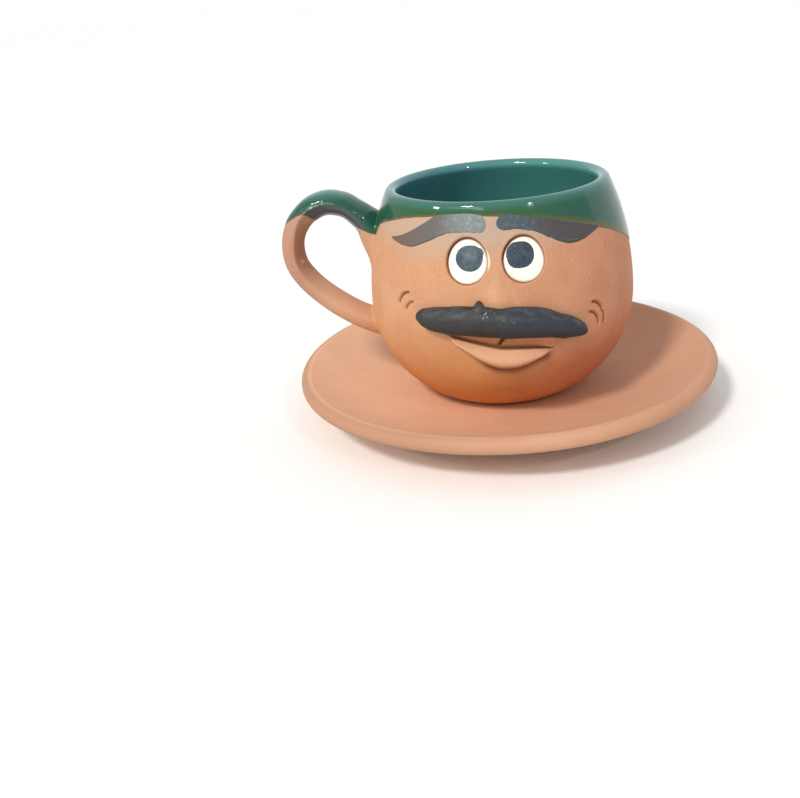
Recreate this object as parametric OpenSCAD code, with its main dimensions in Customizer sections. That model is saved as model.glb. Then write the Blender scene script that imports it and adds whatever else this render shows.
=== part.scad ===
// A small hand-thrown clay cup with a comic face and a dipped green glaze, on its saucer.
// Millimetres, +Z up. The origin is the middle of the saucer's foot, on the table.
// The face looks along -Y and the handle reaches out along -X.
// Heights on the cup are counted from the cup's own base.

/* [Saucer] */
// Radius at the outside of the lip
saucer_r = 60.3; // [56:0.1:75]
// Height of the dish from its well up to the inside of its lip
dish_rise = 7.5; // [4:0.1:12]
// Radius of the flat well that the cup stands in
well_r = 26; // [22:0.5:32]
// Thickness of the plate
saucer_wall = 3.7; // [2.5:0.1:6]
// Radius of the rounded lip
saucer_lip_r = 2.2; // [1.6:0.1:3]
// How far the lip's crest stands above the edge of the dish
saucer_lip_proud = 0.8; // [0.2:0.1:1.5]
// Radius of the low foot
saucer_foot_r = 32; // [27:0.5:45]
// Height of the low foot
saucer_foot_h = 1.5; // [0.8:0.1:3]

/* [Cup] */
// Height of the cup over its glazed lip
cup_h = 59; // [54:0.5:68]
// Radius at the belly
belly_r = 37; // [33:0.5:42]
// Height of the belly above the base
belly_h = 27.3; // [24:0.1:29.5]
// Radius of the curve from the belly up to the lip
shoulder_arc_r = 73.6; // [62:0.2:100]
// Radius of the curve from the belly down to the base
lower_arc_r = 30.3; // [29:0.1:34]
// Thickness of the wall
cup_wall = 3; // [2.5:0.1:4.5]
// Thickness of the floor
cup_floor = 5; // [3:0.1:7]

/* [Glaze] */
// Thickness of the glaze coat
glaze_t = 0.3; // [0.2:0.05:0.6]
// How far below the lip the glaze's edge crosses the cup's axis
dip_depth = 16; // [10:0.5:22]
// Tilt of the glaze's edge, down towards the back, in degrees
dip_tilt = 22; // [10:1:30]
// Tilt of the glaze's edge, down away from the handle, in degrees
dip_lean = 6.5; // [0:0.5:12]

/* [Handle] */
// Reach of the strap's middle line beyond the belly
handle_reach = 21.6; // [18:0.1:28]
// How far the top of the strap's middle line stays below the lip
handle_drop = 3.4; // [2:0.1:8]
// Height of the lower root's middle line above the base
handle_root_h = 18.3; // [15:0.1:20]
// Width of the strap, across the hand
handle_w = 10.5; // [8:0.1:14]
// Thickness of the strap at its thinnest
handle_t = 6.4; // [4.5:0.1:7.5]

/* [Eyes] */
// Radius of the ring pressed round each eye
socket_r = 5.5; // [4.5:0.1:6]
// Depth of the ring
socket_depth = 1.1; // [0.8:0.1:1.6]
// Width of the ring's groove
socket_gap = 0.5; // [0.3:0.05:1]
// Radius of the dome of each eye white
eye_dome_r = 17; // [12:0.5:30]
// How far each eye white stands out of the wall
eye_proud = 0.5; // [0.2:0.05:1]
// Width of a pupil
pupil_w = 7; // [4:0.1:8]
// Height of a pupil
pupil_h = 6.2; // [4:0.1:7.5]
// Thickness of the pupils' slip
pupil_t = 0.25; // [0.15:0.05:0.5]

/* [Face] */
// Width across the thick part of the eyebrows' strokes
brow_tall = 5.4; // [3.5:0.1:7]
// Thickness of the eyebrows' slip
brow_proud = 0.45; // [0.3:0.05:1]
// Thickness of the moustache up and down
moustache_tall = 8; // [5:0.1:9.5]
// How far the moustache stands out of the wall
moustache_proud = 4.2; // [2.5:0.1:6]
// Width of the nose
nose_w = 8.5; // [5:0.1:10]
// How far the nose stands out of the wall
nose_proud = 1.1; // [0.8:0.1:3]
// Thickness of the upper lip up and down
upper_lip_tall = 2.8; // [2:0.1:4]
// How far the upper lip stands out of the wall
upper_lip_proud = 1.6; // [0.8:0.1:2.5]
// Thickness of the lower lip up and down
lip_tall = 5; // [4:0.1:8]
// How far the lower lip stands out of the wall
lip_proud = 3; // [1.5:0.1:4.5]
// Radius of the tool that pressed the wrinkles
wrinkle_r = 0.45; // [0.3:0.05:0.8]

/* [Hidden] */
$fn = 96;
// Slip film between an applied form and the wall it sits on
film = 0.06;
// Half of the gap between neighbouring forms of the face
crease = 0.12;

// Heights and places on the saucer
well_z = saucer_foot_h + saucer_wall;
dish_z = well_z + dish_rise;
saucer_lip_at = saucer_r - saucer_lip_r;
saucer_lip_z = dish_z + saucer_lip_proud - saucer_lip_r;
dish_run = saucer_r - 2*saucer_lip_r - well_r;
dish_arc_r = (dish_run*dish_run + dish_rise*dish_rise)/(2*dish_rise);

// Places on the cup, whose base stands in the well
belly_z = well_z + belly_h;
shoulder_at = belly_r - shoulder_arc_r;
lower_at = belly_r - lower_arc_r;
hollow_arc_r = belly_h - cup_floor;
hollow_at = belly_r - cup_wall - hollow_arc_r;
lip_r = cup_wall/2;
lip_arc = shoulder_arc_r - lip_r;
lip_angle = asin((cup_h - belly_h - lip_r - glaze_t)/lip_arc);
lip_at = shoulder_at + lip_arc*cos(lip_angle);
lip_z = belly_z + lip_arc*sin(lip_angle);
dip_z = well_z + cup_h - dip_depth;
// Rise of the strap's middle line from its lower root to its top
handle_rise = cup_h - handle_drop - handle_root_h;
// Longer than anything on the object, for blocks that cut
reach_all = 2*saucer_r;

// Where each eye sits: degrees round from the front, and share of the cup's height
eye_left_share = [-13.4, 0.767];
eye_right_share = [10.1, 0.761];
// Where each pupil sits from its eye's middle, as shares of the eye's radius
pupil_left_share = [0.13, 0.15];
pupil_right_share = [-0.17, 0.28];
// How far a pupil's rounded corners reach from its middle, as a share of its mean width
pupil_corner_share = 0.54;

// The strap's middle line from the upper root over to the lower root: shares of the reach, the rise,
// the width and the thickness, and the degrees its section is turned to flare down the wall
handle_shares = [
    [-0.176, 0.63, 1.1, 2.9, 47], [-0.04, 0.768, 1.1, 2, 47], [0.09, 0.889, 1.07, 1.28, 42],
    [0.25, 0.971, 1.03, 1.04, 22], [0.47, 1, 1, 1, 0], [0.67, 0.97, 1, 1, 0], [0.85, 0.885, 1, 1, 0],
    [0.97, 0.765, 1, 1, 0], [1, 0.64, 1, 1, 0], [0.955, 0.515, 1, 1, 0], [0.825, 0.4, 1, 1.02, 0],
    [0.65, 0.296, 1, 1.04, 0], [0.445, 0.199, 1, 1.06, 0], [0.235, 0.118, 1.02, 1.08, 0],
    [0.02, 0.06, 1.08, 1.12, 0], [-0.27, 0, 1.15, 1.2, 0]
];

// Brushed strokes: degrees round from the front, share of the cup's height at the stroke's middle,
// and share of the stroke's full width
brow_left_shares = [
    [-54.5, 0.836, 0.08], [-50, 0.834, 0.32], [-45, 0.84, 0.58], [-40, 0.852, 0.8], [-35, 0.874, 0.92],
    [-30, 0.899, 1], [-25, 0.92, 1], [-20, 0.928, 0.94], [-14, 0.928, 0.94], [-9, 0.921, 0.8], [-6.2, 0.912, 0.4]
];
brow_right_shares = [
    [0.3, 0.922, 0.4], [3, 0.922, 0.72], [7, 0.92, 0.7], [11, 0.918, 0.7], [16, 0.906, 0.76],
    [21, 0.885, 0.9], [26, 0.865, 1.04], [31, 0.848, 1.06], [36, 0.839, 0.86], [41, 0.836, 0.55], [47.5, 0.835, 0.1]
];
// Along the mouth and the moustache: degrees round from the front, share of the cup's height at the
// mouth's crease, and shares of the upper lip's, the moustache's and the lower lip's full thickness
mouth_shares = [
    [-34.6, 0.502, 0, 0.14, 0], [-33.8, 0.489, 0, 0.36, 0], [-31.2, 0.473, 0, 0.58, 0], [-27.5, 0.463, 0, 0.76, 0],
    [-22, 0.452, 0.08, 0.87, 0.12], [-17, 0.44, 0.3, 0.92, 0.44], [-12, 0.425, 0.55, 0.95, 0.7],
    [-8, 0.414, 0.72, 0.96, 0.92], [-4, 0.401, 0.9, 0.97, 1], [0, 0.392, 1, 0.98, 1],
    [5, 0.39, 0.98, 1, 0.98], [9, 0.388, 0.93, 1, 0.84], [13, 0.384, 0.92, 0.98, 0.57],
    [17, 0.377, 0.97, 0.93, 0.28], [20, 0.37, 0.98, 0.86, 0.1], [23.5, 0.404, 0.06, 0.79, 0],
    [28, 0.403, 0, 0.68, 0], [30.8, 0.4, 0, 0.56, 0], [32.6, 0.402, 0, 0.42, 0], [33.5, 0.408, 0, 0.18, 0]
];
// Least share of a lip that is still laid on
lip_end_share = 0.07;
// The nose: degrees round, share of the way down from its top to the moustache,
// and shares of its full width and of its full height
nose_shares = [
    [-1.6, 0, 0.1, 0.1], [-1.6, 0.2, 0.22, 0.25], [-1.6, 0.42, 0.42, 0.5], [-1.5, 0.62, 0.72, 0.8],
    [-1.4, 0.8, 0.98, 1], [-1.3, 0.92, 0.95, 0.9], [-1.2, 1, 0.78, 0.5]
];
// The nose's top as a share of the cup's height, and its place along the table of the mouth, in rows
nose_top_share = 0.735;
nose_row = 8.6;
// Pressed wrinkles: degrees round, share of the cup's height, share of its width, and the arc's two ends in degrees
wrinkle_shares = [
    [-40.3, 0.546, 0.115, 90, 172], [-37.8, 0.524, 0.088, 90, 170],
    [37.5, 0.469, 0.104, 20, 90], [36.1, 0.422, 0.107, 5, 80], [41.2, 0.446, 0.073, -37, 46]
];
// How sharply the strap's two edges are drawn, 1 for an ellipse
strap_edge = 1.25;
// How full an applied form's section is, less than 1 for a fuller roll than an ellipse
roll_fullness = 0.8;
// Steps between two rows of a table, and points round a strap and round an applied form
row_steps = 3;
strap_sides = 16;
form_sides = 12;
// Rows of the strap's table at its upper root, over its top and below the glaze's edge,
// the glaze sleeve's steps along it, and the halvings that find the sleeve's ends
strap_over_row = 4;
strap_under_row = 10;
sleeve_steps = 24;
halvings = 14;

// Radius of the cup's outside, and the tilt of its face, at a height above its base
function wall_arc(h) = h > belly_h ? shoulder_arc_r : lower_arc_r;
function wall_tilt(h) = asin((h - belly_h)/wall_arc(h));
function wall_r(h) = belly_r - wall_arc(h)*(1 - cos(wall_tilt(h)));
// The point at an angle round and a height, lifted off the wall along its normal
function on_wall(a, h, lift) =
    let (r = wall_r(h) + lift*cos(wall_tilt(h)))
    [r*sin(a), -r*cos(a), well_z + h + lift*sin(wall_tilt(h))];

// A smooth curve through the rows of a table, at any place along it counted in rows
function row(rows, i) = rows[max(0, min(len(rows) - 1, i))];
function smooth(p, q, r, s, t) =
    (2*q + (r - p)*t + (2*p - 5*q + 4*r - s)*t*t + (3*q - p - 3*r + s)*t*t*t)/2;
function at(rows, t) =
    let (i = min(floor(t), len(rows) - 2))
    smooth(row(rows, i - 1), row(rows, i), row(rows, i + 1), row(rows, i + 2), t - i);
function curve(rows) = [for (i = [0 : row_steps*(len(rows) - 1)]) at(rows, i/row_steps)];

// A closed skin round rings of equal count
module skin(rings) {
    n = len(rings[0]);
    last = len(rings) - 1;
    sides = [
        for (i = [0 : last - 1], k = [0 : n - 1])
            each let (a = i*n + k, b = i*n + (k + 1)%n)
                [[a, a + n, b], [b, a + n, b + n]]
    ];
    first_cap = [for (k = [1 : n - 2]) [0, k, k + 1]];
    last_cap = [for (k = [1 : n - 2]) [last*n, last*n + k + 1, last*n + k]];
    polyhedron([for (ring = rings) each ring], concat(sides, first_cap, last_cap), convexity = 10);
}

// A closed skin between an outer and an inner sheet of rings, open through its middle
module sleeve(outer, inner) {
    n = len(outer[0]);
    last = len(outer) - 1;
    inside = n*(last + 1);
    walls = [
        for (i = [0 : last - 1], k = [0 : n - 1])
            each let (a = i*n + k, b = i*n + (k + 1)%n)
                [
                    [a, a + n, b], [b, a + n, b + n],
                    [a + inside, b + inside, a + n + inside], [b + inside, b + n + inside, a + n + inside]
                ]
    ];
    ends = [
        for (k = [0 : n - 1])
            each let (a = k, b = (k + 1)%n, c = last*n + k, d = last*n + (k + 1)%n)
                [
                    [a, b, a + inside], [b, b + inside, a + inside],
                    [c, c + inside, d], [d, c + inside, d + inside]
                ]
    ];
    polyhedron([for (ring = concat(outer, inner)) each ring], concat(walls, ends), convexity = 10);
}

// Clay laid on the wall: one slice per row of degrees round, height,
// half its spread in degrees, half its spread in height, and how far it stands out
module applied(slices) {
    skin([
        for (p = slices)
            [for (k = [0 : form_sides - 1])
                let (f = 360*k/form_sides, out = max(0, sin(f)))
                on_wall(p[0] + p[2]*cos(f), p[1] + p[3]*cos(f), film + p[4]*pow(out, roll_fullness))]
    ]);
}

// Places its children on the wall, with their +Z out of it and their +Y up
module at_wall(a, h) {
    rotate([0, 0, a])
        translate([0, -wall_r(h), well_z + h])
            rotate([90 - wall_tilt(h), 0, 0])
                children();
}

// The cup's outside below the belly, grown by a coat
module lower_outline(grow) {
    intersection() {
        translate([0, well_z]) square([belly_r + grow, belly_h]);
        union() {
            translate([lower_at, belly_z]) circle(lower_arc_r + grow);
            translate([0, well_z]) square([lower_at, belly_h]);
        }
    }
}

// The hollow below the belly, with a coat laid in it
module lower_hollow(grow) {
    translate([0, well_z + cup_floor + grow]) square([hollow_at, hollow_arc_r - grow]);
    intersection() {
        translate([hollow_at, belly_z]) circle(hollow_arc_r - grow);
        translate([hollow_at, well_z]) square([hollow_arc_r, belly_h]);
    }
}

// The shoulder's angle seen from the middle of its curve, up to the lip
module shoulder_wedge() {
    translate([shoulder_at, belly_z])
        polygon([[0, 0], [reach_all, 0], [reach_all, reach_all*tan(lip_angle)]]);
}

// Half of the cup's section, grown by a coat on both faces
module cup_section(grow) {
    difference() {
        lower_outline(grow);
        lower_hollow(grow);
    }
    intersection() {
        shoulder_wedge();
        difference() {
            translate([shoulder_at, belly_z]) circle(shoulder_arc_r + grow);
            translate([shoulder_at, belly_z]) circle(shoulder_arc_r - cup_wall - grow);
        }
    }
    translate([lip_at, lip_z]) circle(lip_r + grow);
}

// Everything within the cup's outside, grown by a coat or shrunk into the wall
module cup_solid(grow) {
    rotate_extrude() {
        lower_outline(grow);
        intersection() {
            translate([0, belly_z]) square([belly_r + grow, lip_z - belly_z]);
            translate([shoulder_at, belly_z]) circle(shoulder_arc_r + grow);
        }
        translate([0, lip_z]) square([lip_at, lip_r]);
    }
}

// The block above or below the glaze's edge
module dip_block(side) {
    translate([0, 0, dip_z])
        rotate([-dip_tilt, dip_lean, 0])
            translate([0, 0, side*reach_all/2])
                cube(reach_all, center = true);
}

// A point of the strap's skin, grown by a coat: at a place along its table, and a number round it
function strap_middle(t) =
    let (p = at(handle_shares, t))
    [-belly_r - p[0]*handle_reach, well_z + handle_root_h + p[1]*handle_rise];
function strap_point(t, k, grow) =
    let (
        p = at(handle_shares, t),
        step = strap_middle(min(t + 1/row_steps, len(handle_shares) - 1)) - strap_middle(max(t - 1/row_steps, 0)),
        heading = atan2(step[1], step[0]) + p[4],
        f = 360*k/strap_sides,
        out = (handle_t/2*p[3] + grow)*sign(sin(f))*pow(abs(sin(f)), strap_edge)
    )
    [
        strap_middle(t)[0] - sin(heading)*out,
        (handle_w/2*p[2] + grow)*cos(f),
        strap_middle(t)[1] + cos(heading)*out
    ];

// How far a point lies outside the glazed wall and above the glaze's edge, whichever is less
function height_above_dip(p) =
    p[2] - dip_z + p[0]*tan(dip_lean)/cos(dip_tilt) + p[1]*tan(dip_tilt);
function glazed_room(p) =
    min(norm([p[0], p[1]]) - wall_r(p[2] - well_z) - glaze_t - film, height_above_dip(p));
// Where along the strap that room begins or ends, between a place without it and one with it
function glaze_end(k, grow, bare, glazed, n) =
    n == 0 ? glazed :
    let (t = (bare + glazed)/2)
    glazed_room(strap_point(t, k, grow)) > 0 ?
        glaze_end(k, grow, bare, t, n - 1) : glaze_end(k, grow, t, glazed, n - 1);

// The strap from root to root, with its ends inside the cup
module strap() {
    skin([
        for (i = [0 : row_steps*(len(handle_shares) - 1)])
            [for (k = [0 : strap_sides - 1]) strap_point(i/row_steps, k, 0)]
    ]);
}

// A domed disc of white slip clay in its pressed ring
module eye_white(place) {
    at_wall(place[0], place[1]*cup_h)
        intersection() {
            translate([0, 0, -socket_depth]) cylinder(h = socket_depth + eye_proud, r = socket_r - socket_gap);
            translate([0, 0, eye_proud - eye_dome_r]) sphere(eye_dome_r);
        }
}

// A coat of dark slip brushed on the eye white
module pupil(place, offset_share) {
    shift = (socket_r - socket_gap)*offset_share;
    corner_r = pupil_corner_share*(pupil_w + pupil_h)/2;
    at_wall(place[0], place[1]*cup_h)
        intersection() {
            translate([0, 0, eye_proud - eye_dome_r])
                difference() {
                    sphere(eye_dome_r + pupil_t);
                    sphere(eye_dome_r);
                }
            translate([shift[0], shift[1], 0]) cylinder(h = eye_dome_r, r = corner_r, center = true);
            translate([shift[0], shift[1], 0]) cube([pupil_w, pupil_h, eye_dome_r], center = true);
        }
}

// The round hole that an eye white sits in
module socket(place) {
    at_wall(place[0], place[1]*cup_h)
        translate([0, 0, -socket_depth])
            cylinder(h = 2*socket_depth + eye_proud, r = socket_r);
}

// Room in the glaze coat for the strap's upper root
module root_slot() {
    side = glaze_end(0, glaze_t, 0, strap_over_row, halvings);
    top = 3*strap_sides/4;
    crown = glaze_end(top, glaze_t, 0, strap_over_row, halvings);
    half_w = strap_point(side, 0, glaze_t)[1] + glaze_t;
    rise = strap_point(crown, top, glaze_t)[2] + glaze_t - well_z;
    translate([-reach_all, -half_w, well_z]) cube([reach_all, 2*half_w, rise]);
}

// One wrinkle pressed into a cheek
module wrinkle(place) {
    at_wall(place[0], place[1]*cup_h)
        rotate([0, 0, place[3]])
            rotate_extrude(angle = place[4] - place[3])
                translate([place[2]*belly_r, 0]) circle(wrinkle_r);
}

module saucer() {
    color("burlywood")
        rotate_extrude() {
            square([saucer_foot_r, saucer_foot_h + saucer_wall/2]);
            translate([0, saucer_foot_h]) square([well_r, saucer_wall]);
            intersection() {
                translate([well_r, 0]) square([saucer_lip_at - well_r, dish_z]);
                difference() {
                    translate([well_r, well_z + dish_arc_r]) circle(dish_arc_r + saucer_wall);
                    translate([well_r, well_z + dish_arc_r]) circle(dish_arc_r);
                }
            }
            translate([saucer_lip_at, saucer_lip_z]) circle(saucer_lip_r);
        }
}

module cup_bowl() {
    color("peru")
        difference() {
            rotate_extrude() cup_section(0);
            socket(eye_left_share);
            socket(eye_right_share);
            for (place = wrinkle_shares) wrinkle(place);
        }
}

module handle() {
    color("peru")
        difference() {
            strap();
            cup_solid(0);
        }
}

module bowl_glaze() {
    color("darkgreen")
        difference() {
            rotate_extrude()
                difference() {
                    cup_section(glaze_t);
                    cup_section(0);
                }
            difference() {
                union() {
                    dip_block(-1);
                    root_slot();
                }
                cup_solid(-cup_wall/2);
            }
        }
}

module handle_glaze() {
    function sheet(grow) = [
        for (i = [0 : sleeve_steps])
            [for (k = [0 : strap_sides - 1])
                let (
                    from = glaze_end(k, glaze_t, 0, strap_over_row, halvings),
                    to = glaze_end(k, glaze_t, strap_under_row, strap_over_row, halvings)
                )
                strap_point(from + (to - from)*i/sleeve_steps, k, grow)]
    ];
    color("darkgreen") sleeve(sheet(glaze_t), sheet(film));
}

module left_eye_white() {
    color("ivory") eye_white(eye_left_share);
}

module right_eye_white() {
    color("ivory") eye_white(eye_right_share);
}

module left_pupil() {
    color("slategray") pupil(eye_left_share, pupil_left_share);
}

module right_pupil() {
    color("darkslategray") pupil(eye_right_share, pupil_right_share);
}

// A brushed stroke of dark slip, which stops at the glaze's edge
module eyebrow(shares) {
    line = curve(shares);
    function edge(side) = [
        for (p = line)
            let (q = on_wall(p[0], p[1]*cup_h + side*p[2]*brow_tall/2, 0)) [q[0], q[2]]
    ];
    low = edge(-1);
    high = edge(1);
    difference() {
        intersection() {
            difference() {
                cup_solid(brow_proud);
                cup_solid(0);
            }
            rotate([90, 0, 0])
                linear_extrude(reach_all)
                    polygon(concat(low, [for (i = [len(high) - 1 : -1 : 0]) high[i]]));
        }
        dip_block(1);
    }
}

module left_eyebrow() {
    color("dimgray") eyebrow(brow_left_shares);
}

module right_eyebrow() {
    color("dimgray") eyebrow(brow_right_shares);
}

module moustache() {
    color("darkslategray")
        applied([
            for (p = curve(mouth_shares))
                let (half = p[3]*moustache_tall/2)
                [
                    p[0], p[1]*cup_h + max(0, p[2])*upper_lip_tall + half + crease,
                    0, half, moustache_proud*sqrt(min(1, p[3]))
                ]
        ]);
}

module nose() {
    top = nose_top_share*cup_h;
    crest = at(mouth_shares, nose_row);
    bottom = crest[1]*cup_h + crest[2]*upper_lip_tall + crest[3]*moustache_tall + 3*crease;
    color("peru")
        applied([
            for (p = curve(nose_shares))
                [p[0], top + (bottom - top)*p[1], p[2]*nose_w/2*180/PI/belly_r, 0, p[3]*nose_proud]
        ]);
}

module upper_lip() {
    color("peru")
        applied([
            for (p = curve(mouth_shares))
                if (p[2] > lip_end_share)
                    [
                        p[0], p[1]*cup_h + p[2]*upper_lip_tall/2,
                        0, max(crease, p[2]*upper_lip_tall/2 - crease), upper_lip_proud*sqrt(min(1, p[2]))
                    ]
        ]);
}

module lower_lip() {
    color("peru")
        applied([
            for (p = curve(mouth_shares))
                if (p[4] > lip_end_share)
                    let (half = p[4]*lip_tall/2)
                    [p[0], p[1]*cup_h - half - crease, 0, half, lip_proud*sqrt(min(1, p[4]))]
        ]);
}

saucer();
cup_bowl();
handle();
bowl_glaze();
handle_glaze();
left_eye_white();
right_eye_white();
left_pupil();
right_pupil();
left_eyebrow();
right_eyebrow();
moustache();
nose();
upper_lip();
lower_lip();
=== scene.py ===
"""The looks of the clay cup and its saucer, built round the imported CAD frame.

Lengths are millimetres until a mesh is made.
"""

import math

import bpy
import numpy as np
from mathutils import Matrix, Vector, noise


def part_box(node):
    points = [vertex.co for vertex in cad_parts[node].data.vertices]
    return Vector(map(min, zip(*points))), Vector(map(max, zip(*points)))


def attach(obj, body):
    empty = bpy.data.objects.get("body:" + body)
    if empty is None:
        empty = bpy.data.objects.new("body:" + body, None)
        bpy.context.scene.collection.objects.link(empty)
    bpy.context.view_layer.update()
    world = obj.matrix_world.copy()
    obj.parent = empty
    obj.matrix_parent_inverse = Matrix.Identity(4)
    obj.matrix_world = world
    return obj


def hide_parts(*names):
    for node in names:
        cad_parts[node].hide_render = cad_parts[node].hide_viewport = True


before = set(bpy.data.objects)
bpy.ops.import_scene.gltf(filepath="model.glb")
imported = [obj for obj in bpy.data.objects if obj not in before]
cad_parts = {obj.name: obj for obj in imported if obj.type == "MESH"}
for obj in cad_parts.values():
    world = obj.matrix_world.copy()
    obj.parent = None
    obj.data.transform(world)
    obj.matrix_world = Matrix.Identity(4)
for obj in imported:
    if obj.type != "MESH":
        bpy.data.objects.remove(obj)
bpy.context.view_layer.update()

MM = 0.001


def box_mm(node):
    """Lowest and highest corner of a CAD node in millimetres."""
    return [np.array(corner)/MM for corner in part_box(node)]


# Sizes, and first those that the frame gives
SAUCER_R = box_mm("saucer")[1][0]
WELL_Z = box_mm("cup_bowl")[0][2]
BELLY_R = box_mm("cup_bowl")[1][0]
CUP_H = box_mm("bowl_glaze")[1][2] - WELL_Z
HANDLE_TOP = box_mm("handle")[1][2] - WELL_Z

# The cup's profile, as the CAD has it; heights count from the cup's base
BELLY_H = 27.3
SHOULDER_ARC_R = 73.6
LOWER_ARC_R = 30.3
CUP_WALL = 3.0
CUP_FLOOR = 5.0
GLAZE_T = 0.3
# How far a coat's underside lies in the clay of the bowl and of the handle
BOWL_COAT_SUNK = 0.2
HANDLE_COAT_SUNK = 0.25
LIP_R = CUP_WALL/2
SHOULDER_AT = BELLY_R - SHOULDER_ARC_R
HOLLOW_ARC_R = BELLY_H - CUP_FLOOR
HOLLOW_AT = BELLY_R - CUP_WALL - HOLLOW_ARC_R
LIP_ANGLE = math.asin((CUP_H - BELLY_H - LIP_R - GLAZE_T)/(SHOULDER_ARC_R - LIP_R))
LIP_AT = SHOULDER_AT + (SHOULDER_ARC_R - LIP_R)*math.cos(LIP_ANGLE)
LIP_H = BELLY_H + (SHOULDER_ARC_R - LIP_R)*math.sin(LIP_ANGLE)
WALL_TOP_H = BELLY_H + SHOULDER_ARC_R*math.sin(LIP_ANGLE)

# The glaze's edge: how far below the lip it crosses the axis, its two tilts, and how far above that
# plane the real edge ends
DIP_DEPTH = 16.0
DIP_TILT = math.radians(22)
DIP_LEAN = math.radians(6.5)
DIP_SHORT = -0.12
DIP_Z = WELL_Z + CUP_H - DIP_DEPTH

# The saucer's section, as the CAD has it
DISH_RISE = 7.5
SAUCER_WELL_R = 26.0
SAUCER_WALL = 3.7
SAUCER_LIP_R = 2.2
SAUCER_LIP_PROUD = 0.8
SAUCER_FOOT_R = 32.0
SAUCER_FOOT_H = WELL_Z - SAUCER_WALL

# The handle
HANDLE_REACH = 21.6
HANDLE_ROOT_H = 18.3
HANDLE_T = 6.4
HANDLE_W = 10.5
HANDLE_RISE = HANDLE_TOP - HANDLE_T/2 - HANDLE_ROOT_H


# The wall of the cup
def wall_arc(h):
    return np.where(h > BELLY_H, SHOULDER_ARC_R, LOWER_ARC_R)


def wall_tilt(h):
    return np.arcsin(np.clip((h - BELLY_H)/wall_arc(h), -1, 1))


def wall_r(h):
    return BELLY_R - wall_arc(h)*(1 - np.cos(wall_tilt(h)))


def turned(a, r, h):
    """Points at an angle in degrees round from the front, a radius and a height above the cup's base."""
    a = np.radians(a)
    return np.stack(np.broadcast_arrays(r*np.sin(a), -r*np.cos(a), WELL_Z + h), axis=-1)


def on_wall(a, h, lift):
    """Points lifted off the cup's wall along its normal."""
    tilt = wall_tilt(h)
    return turned(a, wall_r(h) + lift*np.cos(tilt), h + lift*np.sin(tilt))


def smooth(x):
    x = np.clip(x, 0, 1)
    return x*x*(3 - 2*x)


def at(rows, t):
    """A smooth curve through the rows of a table, at places counted in rows."""
    rows = np.asarray(rows, float)
    t = np.clip(np.asarray(t, float), 0, len(rows) - 1)
    i = np.minimum(np.floor(t).astype(int), len(rows) - 2)
    u = (t - i)[..., None]
    p, q, r, s = (rows[np.clip(i + k, 0, len(rows) - 1)] for k in (-1, 0, 1, 2))
    return (2*q + (r - p)*u + (2*p - 5*q + 4*r - s)*u**2 + (3*q - p - 3*r + s)*u**3)/2


def along(rows, x):
    """The same curve, at places given by the rows' first column."""
    rows = np.asarray(rows, float)
    return at(rows, np.interp(x, rows[:, 0], np.arange(len(rows))))


# Meshes
def in_a_row(rings, joined):
    """The rings' values one after the other, then the mean of each end ring unless the ends are joined."""
    row = rings.reshape(-1, *rings.shape[2:])
    return row if joined else np.concatenate([row, [rings[0].mean(0), rings[-1].mean(0)]])


def skin(count, n, joined):
    """Faces of a closed skin through rings of n points, its ends closed by a point each or joined."""
    k = np.arange(n)
    faces = []
    for i in range(count if joined else count - 1):
        j = (i + 1) % count
        faces += np.stack([i*n + k, i*n + (k + 1) % n, j*n + (k + 1) % n, j*n + k], axis=1).tolist()
    if not joined:
        end = count*n
        faces += [[end, (i + 1) % n, i] for i in range(n)]
        faces += [[end + 1, end - n + i, end - n + (i + 1) % n] for i in range(n)]
    return faces


def placed(name, data):
    """A new object in the scene for a mesh, a light or a camera."""
    made = bpy.data.objects.new(name, data)
    bpy.context.scene.collection.objects.link(made)
    return made


def piece(name, rings, look, nodes, fields=(), joined=False, body="cup"):
    """A smooth piece with a closed skin through rings, riding on a CAD body and standing for CAD nodes.

    A look is a material and its slot's name. Fields are values for the material, one for each ring point.
    """
    rings = np.asarray(rings)
    data = bpy.data.meshes.new(name)
    data.from_pydata((in_a_row(rings, joined)*MM).tolist(), [], skin(*rings.shape[:2], joined))
    data.shade_smooth()
    for field, values in dict(fields).items():
        values = in_a_row(np.broadcast_to(values, rings.shape[:2]), joined).astype(np.float32)
        data.attributes.new(field, "FLOAT", "POINT").data.foreach_set("value", values)
    material, slot = look
    data.materials.append(material)
    made = placed(name, data)
    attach(made, body)
    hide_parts(*nodes)


def stretches(*parts):
    """Places along a line, as (from, to, step) stretches that follow each other."""
    out = []
    for start, end, step in parts:
        n = max(1, round(abs(end - start)/step))
        out.append(np.linspace(start, end, n, endpoint=False))
    return np.concatenate([*out, [parts[-1][1]]])


def unevenness(points, size, seed):
    """A slow wander of about -1 to 1 over the points, of features that size."""
    flat = np.asarray(points).reshape(-1, 3)
    out = [noise.noise(Vector(p/size) + Vector((seed, seed, seed))) for p in flat]
    return np.array(out).reshape(np.asarray(points).shape[:-1])


# Materials
def linear(code):
    """A colour as the picture shows it, such as "c08060", in the scene's linear light."""
    parts = [int(code[i:i + 2], 16)/255 for i in (0, 2, 4)]
    return [*(p/12.92 if p <= 0.04045 else ((p + 0.055)/1.055)**2.4 for p in parts), 1.0]


def add_node(tree, kind, inputs=(), **settings):
    """A new node. Its inputs are values or the outputs of other nodes."""
    node = tree.nodes.new(kind)
    for key, value in settings.items():
        setattr(node, key, value)
    for key, value in dict(inputs).items():
        if isinstance(value, bpy.types.NodeSocket):
            tree.links.new(value, node.inputs[key])
        else:
            node.inputs[key].default_value = value
    return node


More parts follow.
